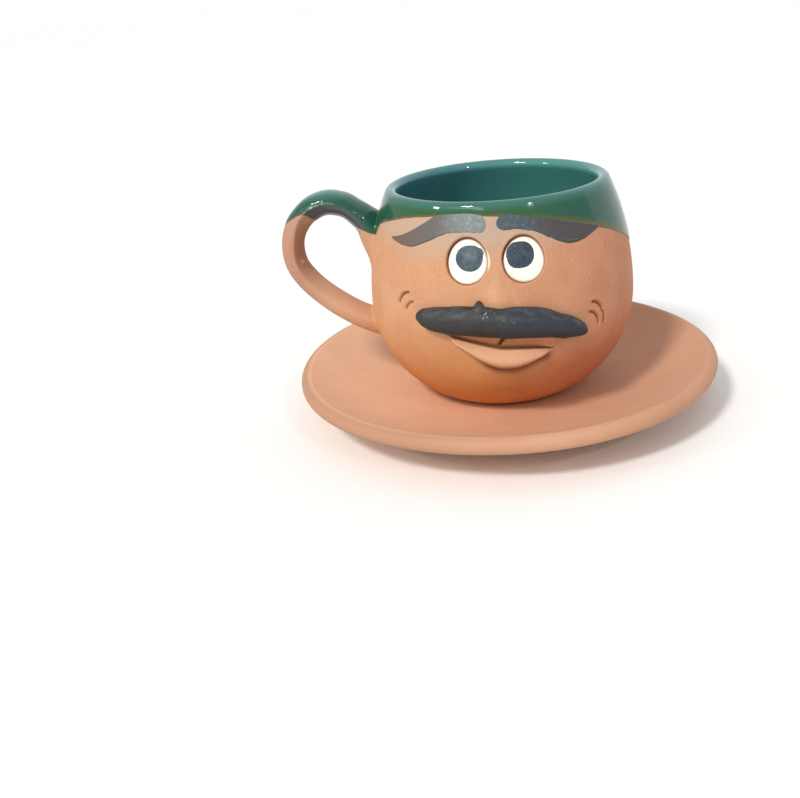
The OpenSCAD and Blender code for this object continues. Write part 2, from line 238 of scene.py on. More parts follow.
class Surface:
    """A procedural material for a slot, built by calls that each add a node and return its output."""

    def __init__(self, name, slot=None, **shader):
        self.slot = slot or name
        self.material = bpy.data.materials.new(name)
        self.material.use_nodes = True
        self.tree = self.material.node_tree
        self.shader = self.tree.nodes["Principled BSDF"]
        for socket, value in shader.items():
            self.shader.inputs[socket.replace("_", " ")].default_value = value
        self.place = self.add("ShaderNodeTexCoord").outputs["Object"]

    def add(self, kind, inputs=(), **settings):
        return add_node(self.tree, kind, inputs, **settings)

    def noise(self, size, detail=2.0, rough=0.5, stretch=None, place=None):
        """Noise from 0 to 1, of features that size in millimetres."""
        place = place or self.place
        if stretch:
            place = self.add("ShaderNodeMapping", {"Vector": place, "Scale": stretch}).outputs[0]
        inputs = {"Vector": place, "Scale": 1/(size*MM), "Detail": detail, "Roughness": rough}
        return self.add("ShaderNodeTexNoise", inputs).outputs["Fac"]

    def specks(self, spacing, size, keep):
        """Round specks, 1 in their middle, in cells that far apart, of which a share is kept."""
        inputs = {"Vector": self.place, "Scale": 1/(spacing*MM), "Randomness": 1.0}
        cells = self.add("ShaderNodeTexVoronoi", inputs)
        dot = self.span(cells.outputs["Distance"], size/spacing, 0.3*size/spacing)
        chance = self.add("ShaderNodeSeparateColor", {0: cells.outputs["Color"]}).outputs[0]
        return self.times(dot, self.span(chance, keep, keep - 0.02))

    def span(self, value, low, high, to_low=0.0, to_high=1.0):
        """A value taken from one span to another, smoothly and held at its ends."""
        inputs = {0: value, 1: low, 2: high, 3: to_low, 4: to_high}
        return self.add("ShaderNodeMapRange", inputs, interpolation_type="SMOOTHSTEP").outputs[0]

    def math(self, operation, a, b):
        return self.add("ShaderNodeMath", {0: a, 1: b}, operation=operation).outputs[0]

    def times(self, a, b):
        return self.math("MULTIPLY", a, b)

    def plus(self, a, b):
        return self.math("ADD", a, b)

    def mix(self, share, a, b):
        """Colour a, going over to b by a share. Each is an output or a code."""
        a, b = (linear(color) if isinstance(color, str) else color for color in (a, b))
        return self.add("ShaderNodeMix", {0: share, 6: a, 7: b}, data_type="RGBA").outputs[2]

    def tint(self, share, color):
        """Let the surface's colour go over to another one by a share."""
        self.color = self.mix(share, self.color, color)

    def height(self):
        """Height above the origin in metres."""
        return self.add("ShaderNodeSeparateXYZ", {0: self.place}).outputs[2]

    def side(self):
        """How far to the right of the origin, in metres."""
        return self.add("ShaderNodeSeparateXYZ", {0: self.place}).outputs[0]

    def across(self, *ends):
        """A span over the places from left to right, in metres."""
        return self.span(self.side(), *ends)

    def field(self, name):
        return self.add("ShaderNodeAttribute", attribute_name=name).outputs["Fac"]

    def bump(self, value, depth, under=None):
        """A normal raised by that many millimetres where the value is 1, over another one."""
        inputs = {"Height": value, "Distance": depth*MM, "Strength": 1.0}
        if under is not None:
            inputs["Normal"] = under
        return self.add("ShaderNodeBump", inputs).outputs[0]

    def done(self, roughness, normal=None):
        """Join the outputs to the shader and return the look: the material and the name of its slot."""
        self.tree.links.new(self.color, self.shader.inputs["Base Color"])
        self.tree.links.new(roughness, self.shader.inputs["Roughness"])
        if normal is not None:
            self.tree.links.new(normal, self.shader.inputs["Normal"])
        return self.material, self.slot


DARK_SPECK = "6b3826"


def color_clay(s, pale, mid, deep):
    """Fired clay: pale grains and darker clouds, with its few white and dark specks."""
    s.color = s.mix(s.span(s.noise(9, 3), 0.3, 0.7, 0.15, 0.75), mid, deep)
    s.tint(s.times(s.span(s.noise(0.5, 4, 0.7), 0.35, 0.75), 0.25), pale)
    s.tint(s.times(s.span(s.noise(0.16, 2, 0.6), 0.55, 0.8), 0.25), deep)
    s.tint(s.times(s.specks(2.0, 0.2, 0.35), 0.55), "f4dcc4")
    s.tint(s.times(s.specks(2.4, 0.19, 0.3), 0.5), DARK_SPECK)


def clay_relief(s, grain=0.02):
    """The clay's grain, the soft wipe marks round it, and its pin holes."""
    normal = s.bump(s.noise(2.2, 3, 0.6, stretch=(0.35, 0.35, 1.6)), 0.05)
    normal = s.bump(s.noise(0.28, 3, 0.65), grain, normal)
    return s.bump(s.specks(2.6, 0.22, 0.25), -0.08, normal)


def cup_clay():
    """The cup's clay: redder and darker to the base, partly its own colour and partly painted shade, darker
    and redder to the right as painted shade, chalky under the glaze.

    The handle is browner, with pin holes. Painted shade darkens the clay in its hollows and creases, round
    the foot, under the moustache and on the strap's inner face.
    """
    s = Surface("cup_clay", Specular_IOR_Level=0.25)
    height = s.plus(s.height(), s.times(s.plus(s.noise(14, 3), -0.5), 0.012))
    low = s.span(height, 0.008, 0.040)
    # Painted shade: darker and redder to the right, most of all low down
    right = s.times(s.across(-0.012, 0.034), s.span(low, 0.0, 1.0, 1.0, 0.5))
    pale = s.mix(low, "dd9c68", "deb898")
    mid = s.mix(right, s.mix(low, "cf8b47", "c99772"), "b66c55")
    deep = s.mix(right, s.mix(low, "c17642", "be855f"), "a95b45")
    color_clay(s, pale, mid, deep)
    s.tint(s.span(height, 0.049, 0.059, 0.0, 0.6), "a79e92")
    s.tint(s.across(-0.034, -0.042, 0.0, 0.55), "d0a88e")
    s.tint(s.across(-0.047, -0.058, 0.0, 0.65), "a3735f")
    s.tint(s.times(s.specks(1.9, 0.34, 0.55), s.across(-0.04, -0.046, 0.0, 0.6)), DARK_SPECK)
    s.tint(s.span(s.field("smear"), 0.15, 0.7, 0.0, 0.8), "efe0c8")
    # Painted shade: brown where the field is high, near black where it is highest
    s.tint(s.span(s.field("pressed"), 0.05, 0.8, 0.0, 0.85), "6f3a1e")
    s.tint(s.span(s.field("pressed"), 0.88, 1.15, 0.0, 0.8), "2c1810")
    return s.done(s.span(s.noise(1.2, 3), 0.2, 0.8, 0.62, 0.8), clay_relief(s))


def saucer_clay():
    """The saucer's clay, with painted light to the left and painted shade to the right and along the lip,
    most on the lip's left.
    """
    s = Surface("saucer_clay", Specular_IOR_Level=0.25)
    color_clay(s, "e4b89b", "dba787", "d19b79")
    # Painted shade to the right and painted light to the left
    s.tint(s.across(-0.005, 0.045, 0.0, 0.45), "ab7a5e")
    s.tint(s.across(0.005, -0.045, 0.0, 0.45), "ecc3a2")
    # Painted shade along the lip, strongest on the left
    s.tint(s.times(s.field("lip"), s.across(0.022, -0.03, 0.25, 0.8)), "a87a5e")
    return s.done(s.span(s.noise(1.2, 3), 0.2, 0.8, 0.58, 0.76), clay_relief(s, 0.012))


def glaze():
    """Bottle-green glaze, olive and then brown where it thins out, with a painted reflection inside the cup,
    painted shade on the strap's inner face and a painted highlight along the strap's edge.
    """
    s = Surface("green_glaze", Specular_IOR_Level=0.5, IOR=1.5)
    depth = s.field("from_edge")
    wander = s.plus(depth, s.times(s.plus(s.noise(2.5, 4, 0.6), -0.5), 1.2))
    front = s.times(s.across(-0.034, -0.02), s.across(0.024, 0.0))
    deep = s.mix(front, "1d5040", "2b562c")
    deep = s.mix(s.span(s.noise(6, 3), 0.35, 0.7, 0.0, 0.3), deep, "1d5240")
    deep = s.mix(s.span(s.height(), 0.0615, 0.064, 0.0, 0.8), deep, "3a6f68")
    # Painted reflection: the inside is paler and bluer than the outside, bluest on the left
    inside = s.mix(s.across(-0.03, 0.02), "467c86", "4a8a80")
    deep = s.mix(s.field("inside"), deep, inside)
    reach = s.across(-0.01, 0.03, 0.5, 1.6)
    olive = s.mix(s.span(s.math("DIVIDE", wander, reach), 0.25, 1.5), "55562a", deep)
    s.color = s.mix(s.span(wander, -0.05, 0.3), "75482a", olive)
    s.tint(s.times(s.specks(2.2, 0.12, 0.3), 0.3), "55815a")
    # Painted shade and dark reflection on the strap's inner face
    s.tint(s.times(s.field("under"), 0.85), "484b57")
    # Painted highlight: a pale, broken line along the strap's front edge
    edge_painted_highlight = s.times(s.span(s.field("edge"), 0.82, 1.0), s.across(-0.043, -0.048))
    edge_painted_highlight = s.times(edge_painted_highlight, s.span(s.noise(1.5, 3, 0.6), 0.4, 0.62, 0.1, 0.7))
    s.tint(edge_painted_highlight, "dde6da")
    uneven = s.times(s.field("edge"), s.noise(1.1, 3, 0.6))
    normal = s.bump(uneven, 0.14, s.bump(s.noise(5, 2), 0.03))
    return s.done(s.span(depth, 0.0, 0.6, 0.4, 0.07), normal)


def white_slip():
    """The whites' slip, going over to tan at its rim."""
    s = Surface("white_slip", Specular_IOR_Level=0.3)
    s.color = s.mix(s.span(s.noise(1.4, 4, 0.6), 0.3, 0.7), "f8f5ea", "eee9da")
    # Tan at the rim, where the white sinks into the socket's groove
    s.tint(s.span(s.field("to_rim"), 0.9, 1.0), "b98f70")
    return s.done(s.span(s.noise(0.6), 0.2, 0.8, 0.5, 0.65), s.bump(s.noise(0.5, 3), 0.02))


def pupil_slip(name, dark, light, pale):
    """Dark slip dabbed on with a brush, with a painted glare in a pale patch and a few light flecks."""
    s = Surface(name, "slate_slip", Specular_IOR_Level=0.3)
    dabs = s.noise(0.9, 4, 0.65, stretch=(1.0, 1.0, 0.5))
    s.color = s.mix(s.span(dabs, 0.35, 0.7), dark, light)
    # Painted glare: a pale patch round the place that the field gives
    patch = s.plus(s.field("painted_glare"), s.times(s.plus(s.noise(0.6, 4, 0.8), -0.5), 0.9))
    s.tint(s.span(patch, 0.45, 0.95, 0.0, pale), "a3b0b0")
    s.tint(s.times(s.specks(1.2, 0.16, 0.45), 0.6), "c6cfd0")
    return s.done(s.span(dabs, 0.3, 0.7, 0.5, 0.75), s.bump(dabs, 0.04))


def brow_slip(name, outer, middle, inner, painted_sheen_share):
    """A brushed stroke: streaks run along it, and a painted sheen lies in pale patches towards its inner end.
    """
    s = Surface(name, "brow_slip", Specular_IOR_Level=0.25)
    run = s.field("along")
    lane = {0: s.times(run, 0.004), 1: s.times(s.field("across"), 0.0045), 2: 0.0}
    lanes = s.add("ShaderNodeCombineXYZ", lane).outputs[0]
    streaks = s.noise(0.8, 3, 0.7, stretch=(0.25, 1.0, 1.0), place=lanes)
    s.color = s.mix(s.span(run, 0.1, 0.45), outer, middle)
    s.tint(s.span(run, 0.5, 0.85), inner)
    s.tint(s.span(streaks, 0.5, 0.8, 0.0, 0.2), "9d9a97")
    s.tint(s.span(streaks, 0.5, 0.25, 0.0, 0.4), "453f40")
    # Painted sheen: pale silvery patches towards the stroke's inner end
    painted_sheen = s.times(s.span(run, 0.4, 0.85), s.span(s.noise(0.9, 4, 0.7), 0.48, 0.75))
    s.tint(s.times(painted_sheen, painted_sheen_share), "cfd6d4")
    return s.done(s.span(streaks, 0.2, 0.8, 0.5, 0.75), s.bump(streaks, 0.03))


def dark_clay():
    """The moustache's charcoal clay, paler in streaks along its crest, bluer on its right, with a few chips
    painted pale as glints.
    """
    s = Surface("dark_clay", Specular_IOR_Level=0.35)
    half = s.span(s.plus(s.side(), s.times(s.plus(s.noise(3), -0.5), 0.006)), -0.004, 0.002)
    clouds = s.span(s.noise(3.5, 4, 0.6, stretch=(0.5, 1, 1)), 0.3, 0.7)
    s.color = s.mix(half, s.mix(clouds, "292928", "363534"), s.mix(clouds, "2a2b30", "35373e"))
    # Paler streaks along the crest
    crest_streaks = s.span(s.noise(1.4, 4, 0.7, stretch=(0.35, 1, 1)), 0.4, 0.7)
    s.tint(s.times(s.span(s.field("crest"), 0.45, 1.0, 0.0, 0.34), crest_streaks), "66717b")
    s.tint(s.span(s.field("crest"), -0.35, -0.8), "3a2a22")
    s.tint(s.times(s.specks(2.2, 0.22, 0.35), 0.6), "a9a9a4")
    # Painted glints: a few pale chips near the middle of the crest
    chip_glints = s.times(s.span(s.field("chip_glint_spots"), 0.2, 0.8), s.span(s.noise(0.9, 2, 0.6), 0.62, 0.68))
    s.tint(s.times(chip_glints, 0.6), "cbccc8")
    grain = s.bump(s.noise(0.35, 3, 0.6), 0.03, s.bump(s.noise(2.5, 3), 0.12))
    return s.done(s.span(clouds, 0, 1, 0.5, 0.66), grain)


# The face on the wall
# Where each eye sits: degrees round from the front and height above the base
EYE_LEFT = (-13.4, 45.25)
EYE_RIGHT = (10.1, 45.1)
SOCKET_R = 5.35
SOCKET_DEPTH = 1.0
WHITE_R = 5.15
EYE_TALL = 1.12
EYE_PROUD = 0.5
EYE_DOME_R = 17.0

# Pressed wrinkles: degrees round, height, radius of the arc, its two ends in degrees, and its depth
WRINKLES = [
    (-40.3, 32.2, 4.25, 86, 176, 0.72), (-37.8, 30.9, 3.25, 88, 174, 0.55),
    (38.3, 27.55, 3.85, 0, 94, 0.8), (35.9, 25.1, 4.0, -8, 86, 0.72), (39.9, 26.2, 3.6, -30, 36, 0.72),
]
WRINKLE_HALF_W = 0.34

# Along the mouth: degrees round, height of its crease, and the thickness up and down of the upper lip,
# the moustache and the lower lip
MOUTH = [
    (-34.6, 30.3, 0, 1.3, 0), (-33.8, 29.4, 0, 3.1, 0), (-31.2, 28.15, 0, 4.8, 0), (-27.5, 27.35, 0, 6.1, 0),
    (-22, 26.7, 0.2, 6.9, 0.6), (-17, 26.05, 0.75, 7.3, 2.5), (-12, 25.25, 1.35, 7.5, 4.0),
    (-8, 24.65, 1.75, 7.6, 5.1), (-4, 24.0, 2.2, 7.7, 5.6), (0, 23.45, 2.45, 7.7, 5.5),
    (5, 23.25, 2.45, 7.9, 5.15), (9, 23.05, 2.45, 7.9, 4.25), (13, 22.7, 2.55, 7.8, 2.8),
    (17, 22.25, 2.7, 7.4, 1.4), (20, 21.85, 2.75, 6.9, 0.5), (23.5, 23.85, 0.17, 6.3, 0),
    (28, 23.8, 0, 5.4, 0), (30.8, 23.6, 0, 4.5, 0), (32.6, 23.7, 0, 3.4, 0), (33.5, 24.1, 0, 1.4, 0),
]
# Half the gap between the lips, above and below the crease
CREASE = 0.28
# Each lip's two ends in degrees round, and how tall and how proud of the wall it is where it is full
UPPER_LIP_ENDS = (-22.8, 23.4)
UPPER_LIP_TALL = 2.8
UPPER_LIP_PROUD = 1.6
LOWER_LIP_ENDS = (-22.8, 21.2)
LOWER_LIP_TALL = 5.0
LOWER_LIP_PROUD = 3.1
MOUSTACHE_TALL = 8.0
MOUSTACHE_PROUD = 4.2

# The slit in the upper lip: its place, its top, how far it leans, and its depth
SLIT = (-0.7, 25.2)
SLIT_TOP_H = 27.7
SLIT_LEAN = 0.55
SLIT_DEPTH = 1.5

# The hollow under the lower lip: how far below the lip its middle is, half its width and its depth
CHIN_BELOW = 1.0
CHIN_HALF_W = 1.4
CHIN_DEPTH = 0.7

# A scratch on the right cheek: degrees round, the heights of its two ends, half its width and its depth
SCRATCH_ANGLE = 51.25
SCRATCH_ENDS = (42.9, 45.4)
SCRATCH_HALF_W = 0.16
SCRATCH_DEPTH = 0.25

# The painted shade in the bowl's hollows: the depth that is fully dark, the darkest share in the eyes'
# rings and beside them, and how far round the rings reach
FULL_SHADE_DEPTH = 0.85
RING_SHADE = 0.85
WRINKLE_SHADE = 0.6
RINGS_WITHIN = 28
# The painted shade round the cup's foot: its share at the table and the height where it ends
FOOT_SHADE = 0.5
FOOT_SHADE_H = 1.7


def local(a, h, place):
    """Millimetres to the right of and above a place on the wall."""
    return np.radians(a - place[0])*wall_r(place[1]), (h - place[1])/np.cos(wall_tilt(place[1]))


def socket_relief(a, h, place):
    """The ring pushed in round an eye, wide open at its upper left and pinched at its lower right."""
    x, y = local(a, h, place)
    rho, phi = np.hypot(x, y/EYE_TALL), np.arctan2(y, x)
    open_side = 0.5 + 0.5*np.cos(phi - math.radians(140))
    edge = SOCKET_R + 0.35*open_side
    floor = -SOCKET_DEPTH*(0.45 + 0.55*open_side)*(1 - smooth((rho - edge + 0.35)/0.4))
    rim = 0.13*np.exp(-((rho - edge - 0.35)/0.45)**2)*(0.4 + 0.6*open_side)
    return floor + rim


def wrinkle_relief(a, h, wrinkle):
    """A crescent pushed in with a tool's edge, its ends running out and the clay raised along one side."""
    x, y = local(a, h, wrinkle[:2])
    off, phi = np.hypot(x, y) - wrinkle[2], np.degrees(np.arctan2(y, x))
    run = (phi - wrinkle[3])/(wrinkle[4] - wrinkle[3])
    taper = smooth(6*run)*smooth(6*(1 - run))
    groove = -wrinkle[5]*np.exp(-(off/WRINKLE_HALF_W)**2)
    raised = 0.25*wrinkle[5]*np.exp(-((off - 2.2*WRINKLE_HALF_W)/WRINKLE_HALF_W)**2)
    return taper*(groove + raised)


def below_lip(row, h):
    """How far a height lies below the lower lip, at a row of the mouth's table."""
    return row[..., 1] - CREASE - row[..., 4] - h


def face_relief(a, h):
    """How far the wall itself stands out or in: eyes, wrinkles, scratch and the hollow under the lip."""
    out = socket_relief(a, h, EYE_LEFT) + socket_relief(a, h, EYE_RIGHT)
    for wrinkle in WRINKLES:
        out = out + wrinkle_relief(a, h, wrinkle)
    row = along(MOUTH, a)
    hollow = CHIN_DEPTH*np.exp(-((below_lip(row, h) - CHIN_BELOW)/CHIN_HALF_W)**2)
    out = out - hollow*smooth(row[..., 4]/2)*smooth((a + 16)/14)
    off = np.radians(a - SCRATCH_ANGLE)*wall_r(h)
    length = smooth((h - SCRATCH_ENDS[0])/0.4)*smooth((SCRATCH_ENDS[1] - h)/0.8)
    return out - SCRATCH_DEPTH*np.exp(-(off/SCRATCH_HALF_W)**2)*length


def smear(a, h):
    """White slip that ran over the clay to the right of the left eye."""
    x, y = local(a, h, EYE_LEFT)
    rho, phi = np.hypot(x, y/EYE_TALL), np.degrees(np.arctan2(y, x))
    return 0.75*np.exp(-((rho - 5.6)/0.34)**2)*np.exp(-((phi - 2)/30)**2)


def off_slit(a, h):
    """Millimetres to the right of the slit in the upper lip."""
    return np.radians(a - SLIT[0])*wall_r(SLIT[1]) - (h - SLIT[1])*SLIT_LEAN


def mouth_painted_shade(a, h):
    """Painted shade: 1 on the wall between the lips and in the upper lip's slit, less under the lower lip."""
    row = along(MOUTH, a)
    between = np.exp(-((h - row[..., 1])/0.6)**2)*smooth(row[..., 4]/0.8)
    wide = 1.0 + 0.7*smooth((a + 8)/14)
    # Painted shade under the lower lip, wider towards the right
    seam = 0.66*np.exp(-((below_lip(row, h) - 0.8*wide)/wide)**2)
    seam = seam*smooth(row[..., 4]/1.2)*smooth((a + 15)/10)
    slit = 1.15*np.exp(-(off_slit(a, h)/0.6)**4)
    slit = slit*smooth((h - row[..., 1])/0.7)*smooth((SLIT_TOP_H - h)/0.5)
    return np.maximum(np.maximum(between, seam), slit)


def bowl():
    """The thrown bowl: outside with its pushed-in relief, lip, inside and floor."""
    # The grid is finest on the eyes' rings and the scratch, and fine over the rest of the face
    a = stretches((-180, -62, 2.5), (-62, -22, 0.35), (-22, -4.5, 0.16), (-4.5, 1.5, 0.35), (1.5, 19, 0.16),
                  (19, 49.5, 0.35), (49.5, 53, 0.14), (53, 64, 0.35), (64, 180, 2.5))[:-1]
    heights = stretches((0.12, 15.5, 0.8), (15.5, 38.5, 0.25), (38.5, 52.5, 0.14), (52.5, WALL_TOP_H, 0.5))
    base = [turned(a, r, 0.0) for r in np.linspace(1, wall_r(0.0) - 0.7, 6)]
    grid_a, grid_h = np.meshgrid(a, heights)
    lift = face_relief(grid_a, grid_h)
    wander = unevenness(on_wall(grid_a, grid_h, 0), 16, 3)
    outside = on_wall(grid_a, grid_h, lift + 0.09*wander - 0.06)
    inside = [turned(a, r, h) for r, h in inside_profile(0.0)]
    rings = [*base, *outside, *inside]

    def whole(values):
        return np.concatenate([np.zeros((len(base), len(a))), values, np.zeros((len(inside), len(a)))])

    # Painted shade: dark in the hollows, between and under the lips, in the slit and round the foot
    darkest = np.where(np.abs(grid_a) < RINGS_WITHIN, RING_SHADE, WRINKLE_SHADE)
    pressed = np.maximum(np.minimum(-lift/FULL_SHADE_DEPTH, darkest), mouth_painted_shade(grid_a, grid_h))
    pressed = np.maximum(pressed, FOOT_SHADE*(1 - smooth(grid_h/FOOT_SHADE_H)))
    piece("cup_bowl_clay", rings, LOOKS["cup_clay"], ["cup_bowl"],
          {"pressed": whole(pressed), "smear": whole(smear(grid_a, grid_h))})


def inside_profile(grow):
    """Radii and heights from the lip's outer edge over it, down the inside and over the floor."""
    for f in np.linspace(LIP_ANGLE + 0.12, LIP_ANGLE + math.pi, 18):
        yield LIP_AT + (LIP_R + grow)*math.cos(f), LIP_H + (LIP_R + grow)*math.sin(f)
    inner_r = SHOULDER_ARC_R - CUP_WALL - grow
    for f in np.linspace(LIP_ANGLE, 0, 20)[1:]:
        yield SHOULDER_AT + inner_r*math.cos(f), BELLY_H + inner_r*math.sin(f)
    for f in np.linspace(0, -math.pi/2, 22)[1:]:
        yield HOLLOW_AT + (HOLLOW_ARC_R - grow)*math.cos(f), BELLY_H + (HOLLOW_ARC_R - grow)*math.sin(f)
    for r in np.linspace(HOLLOW_AT, 0.8, 6)[1:]:
        yield r, CUP_FLOOR + grow


def laid(front, back):
    """A ring on the wall, over a piece's front and back behind it, each (degrees round, heights, lifts)."""
    return np.concatenate([on_wall(*front), on_wall(*back)])


# Where the three points behind a lip lie, as shares of its height, and those behind a stroke or the nose
BEHIND_LIP = np.array([0.85, 0.5, 0.15])
BEHIND = np.array([0.8, 0, -0.8])


def lower_lip():
    """A full roll that swells out towards its lower edge, soft on the left and overhanging on the right."""
    a = stretches((*LOWER_LIP_ENDS, 0.3))
    down = np.linspace(0, 1, 26)
    rings, pressed = [], []
    for angle, (_, crease, _, _, tall) in zip(a, along(MOUTH, a)):
        tall = max(tall, 0.03)
        proud = LOWER_LIP_PROUD*math.sqrt(min(1, tall/LOWER_LIP_TALL))*smooth(tall/2.0)
        full = float(smooth((angle + 20)/22))
        brink = 0.4 + 0.14*full
        rise = 0.12 + 0.88*np.sin(math.pi/2*np.clip(down/brink, 0, 1))
        past = np.clip((down - brink)/(1 - brink), 0, 1)
        fall = full*np.sqrt(1 - past**2) + (1 - full)*(1 - smooth(past))
        sunk = 0.15*np.maximum(past**6, 1 - float(smooth(tall)))
        lift = proud*np.where(down < brink, rise, fall) - 0.08 - sunk
        top = crease - CREASE
        rings.append(laid((angle, top - down*tall, lift), (angle, top - BEHIND_LIP*tall, -0.7)))
        # Painted shade in the crease at the lip's top and on its lower, down-turned part
        shade = np.maximum(0.85*(1 - smooth(down/0.09)), 0.5*smooth((down - 0.45)/0.4))
        pressed.append([*shade, 0, 0, 0])
    piece("lower_lip_clay", rings, LOOKS["cup_clay"], ["lower_lip"], {"pressed": pressed, "smear": 0.3})


def upper_lip():
    """A lip that draws back from under the moustache down to the crease, with a slit torn in it."""
    a = stretches((*UPPER_LIP_ENDS, 0.3))
    down = np.linspace(0, 1, 26)
    rings, pressed = [], []
    for angle, (_, crease, tall, _, _) in zip(a, along(MOUTH, a)):
        share = min(1, max(tall, 0.03)/UPPER_LIP_TALL)*float(smooth((UPPER_LIP_ENDS[1] - angle)/5))
        h = crease + CREASE + (1 - down)*(tall + 0.5)
        slit = off_slit(angle, h)
        torn = np.exp(-(slit/0.5)**2)*smooth((h - crease)/0.9)
        lift = UPPER_LIP_PROUD*math.sqrt(share)*(1 - 0.8*smooth(down*1.1))
        sunk = 0.08 + 0.15*float(smooth((angle - UPPER_LIP_ENDS[1] + 2)/2))
        lift = lift - SLIT_DEPTH*torn + 0.4*np.exp(-((slit - 0.75)/0.35)**2)*share - sunk
        back = angle, crease + CREASE + (1 - BEHIND_LIP)*tall, -0.7
        rings.append(laid((angle, h, np.maximum(lift, -0.6)), back))
        # Painted shadow of the moustache over the upper lip, darker low down, and painted shade in the slit
        shade = (0.34 + 0.3*smooth((down - 0.7)/0.3))*float(smooth((21 - angle)/9))
        pressed.append([*np.maximum(1.1*torn, shade), 0, 0, 0])
    piece("upper_lip_clay", rings, LOOKS["cup_clay"], ["upper_lip"], {"pressed": pressed})


# The small nub on the moustache's upper edge: degrees round, half its width and its rise
NUB_AT = -8.7
NUB_HALF_W = 2.3
NUB_RISE = 1.5


def moustache():
    """A roll with blunt ends, a pinched seam in its middle and a nub on its upper edge."""
    a = stretches((-34.6, -31, 0.25), (-31, -12, 0.4), (-12, -5.5, 0.2), (-5.5, 30.8, 0.4), (30.8, 33.5, 0.2))
    f = np.radians(np.arange(0, 360, 7.5))
    up, out = np.cos(f), np.sin(f)
    rings, crest, chip_glint_spots = [], [], []
    for angle, (_, crease, lip, tall, _) in zip(a, along(MOUTH, a)):
        middle = crease + max(0, lip) + tall/2 + CREASE
        nub = NUB_RISE*max(0.0, 1 - ((angle - NUB_AT)/NUB_HALF_W)**2)**1.3
        seam = 0.25*math.exp(-((angle + 1.5)/1.6)**2)
        h = middle + tall/2*up + nub*np.clip(up, 0, 1)**4
        proud = MOUSTACHE_PROUD*math.sqrt(min(1, tall/MOUSTACHE_TALL)) - seam
        lift = np.where(out > 0, 0.02 + proud*np.abs(out)**0.85, -0.35*np.abs(out))
        lift = lift + 0.14*unevenness(on_wall(angle, h, lift), 5.5, 7)*(lift > 0)
        h = h + 0.08*unevenness(on_wall(angle, h, lift), 4.0, 11)
        rings.append(on_wall(angle, h, lift))
        crest.append(np.where(out > 0, up + 0.35*out, -1))
        # Where the chips with painted glints lie
        chip_glint_spots.append(math.exp(-((angle + 5.5)/3.5)**2)*np.exp(-((up - 0.65)/0.35)**2))
    piece("moustache_roll", rings, LOOKS["dark_clay"], ["moustache"], {"crest": crest, "chip_glint_spots": chip_glint_spots})


# The nose, from its top down: height, half its width in degrees, and how far it stands out
NOSE = [
    (46.0, 1.6, 0.0), (43.0, 2.2, 0.12), (40.5, 2.9, 0.3), (38.6, 3.8, 0.55), (37.0, 5.0, 0.85),
    (35.8, 5.6, 1.0), (34.6, 5.6, 0.95), (33.2, 5.2, 0.7),
]
NOSE_ANGLE = -1.1


def nose():
    """A low lump that runs out between the eyes."""
    x = np.linspace(-1, 1, 41)
    rings = []
    for h, half, proud in at(NOSE, np.linspace(0, len(NOSE) - 1, 60)):
        sunk = 0.16*np.maximum(x**6, 1 - smooth(proud/0.12))
        lift = proud*(0.8*(1 - x**2)**2 + 0.2*np.exp(-(x/0.45)**2)*(1 - x**2)) - 0.06 - sunk
        rings.append(laid((NOSE_ANGLE + half*x*1.25, h, lift), (NOSE_ANGLE + half*BEHIND, h, -0.5)))
    piece("nose_clay", rings, LOOKS["cup_clay"], ["nose"])


def frame_on_wall(place):
    """Origin, right, up and outward directions at a place on the wall."""
    a, tilt = math.radians(place[0]), float(wall_tilt(place[1]))
    out = np.array([math.sin(a)*math.cos(tilt), -math.cos(a)*math.cos(tilt), math.sin(tilt)])
    right = np.array([math.cos(a), math.sin(a), 0])
    return on_wall(place[0], place[1], 0.0), right, np.cross(out, right), out


def dome(rho):
    return EYE_PROUD - EYE_DOME_R + np.sqrt(EYE_DOME_R**2 - rho**2)


def disc(place, middle, reach, lift, back):
    """Rings of a disc at a place on the wall, from the middle of its front to the middle of its back.

    Reach gives its outline round, and lift its front at a share of the reach.
    """
    origin, right, up, out = frame_on_wall(place)
    phi = np.radians(np.arange(0, 360, 4))
    front = np.concatenate([np.linspace(0.04, 0.85, 12), np.linspace(0.88, 1, 7)])
    rings = []
    for i, share in enumerate([*front, 0.985, 0.5, 0.05]):
        x = middle[0] + share*reach(phi)*np.cos(phi)
        y = middle[1] + share*reach(phi)*np.sin(phi)
        z = lift(share, np.hypot(x, y)) if i < len(front) else np.full(len(phi), back)
        rings.append(origin + x[:, None]*right + y[:, None]*up + z[:, None]*out)
    return rings


# Each pupil's outline from its middle: degrees round and millimetres, as the brush left it
PUPIL_LEFT = [
    (0, 3.55), (27, 3.9), (50, 3.8), (90, 3.5), (135, 3.65), (180, 3.55), (225, 3.25), (270, 3.2),
    (315, 3.45), (360, 3.55),
]
PUPIL_RIGHT = [
    (0, 3.5), (45, 3.65), (90, 3.4), (135, 3.55), (180, 3.5), (225, 3.75), (270, 3.35), (315, 3.5),
    (360, 3.5),
]
# The middle of each pupil's painted glare, from the pupil's own middle
PAINTED_GLARE_AT = (0.2, 0.5)


